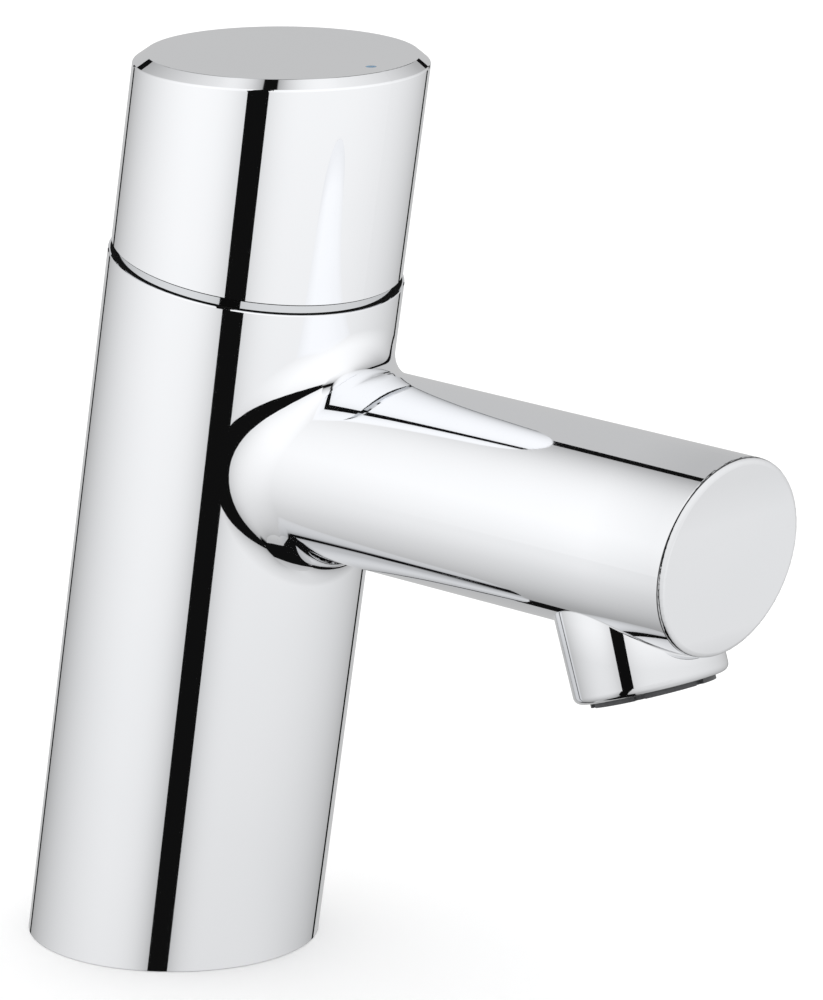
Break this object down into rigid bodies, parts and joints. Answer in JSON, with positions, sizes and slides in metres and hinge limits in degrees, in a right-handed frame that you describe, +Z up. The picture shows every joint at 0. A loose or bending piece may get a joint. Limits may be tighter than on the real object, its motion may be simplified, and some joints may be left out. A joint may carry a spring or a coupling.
{
  "type": "pillar tap",
  "caption": "Single basin pillar tap: a round column leaning towards a level round spout, its top a quarter-turn handle over a ceramic valve.",
  "frame": {"origin": "where the leaning column's axis meets the deck, at the centre of the base's underside", "axes": "+Z up, square to the deck; +X towards the spout, which is also the way the column leans; +Y to the left of a person facing along the spout"},
  "size_m": [0.1402, 0.046, 0.1453],
  "materials": {
    "chrome": "polished bright chrome plate on a brass casting and a zinc handle",
    "brass": "machined brass",
    "steel": "stainless steel",
    "rubber": "black nitrile rubber",
    "fibre": "red-brown fibre washer",
    "ceramic": "ground alumina ceramic",
    "dark_plastic": "dark grey moulded plastic",
    "white_plastic": "white acetal",
    "blue_mark": "blue enamel"
  },
  "bodies": {
    "tap_body": {"body": "chrome", "collar_ring": "chrome", "collar_washer": "rubber", "glide_ring": "white_plastic", "base_insert": "brass", "insert_clip": "steel", "base_seal": "rubber", "riser_tube": "brass", "riser_o_rings": "rubber", "bonnet": "brass", "bonnet_seal": "fibre", "seat_seal": "rubber", "fixed_disc": "ceramic", "aerator_housing": "dark_plastic", "aerator_seal": "rubber", "aerator_screen": "steel", "aerator_insert": "white_plastic", "aerator_grid": "dark_plastic"},
    "turning_handle": {"handle": "chrome", "handle_insert": "white_plastic", "set_screw": "steel", "indicator_dot": "blue_mark", "stem": "brass", "stem_o_rings": "rubber", "thrust_washer": "white_plastic", "stem_clip": "steel", "moving_disc": "ceramic"}
  },
  "joints": [
    {"name": "handle_turn", "type": "hinge", "parent": "tap_body", "child": "turning_handle", "pos_m": [0.0189, 0, 0.11293], "axis": [0.165, 0, 0.9863], "range_deg": [0, 90]}
  ]
}
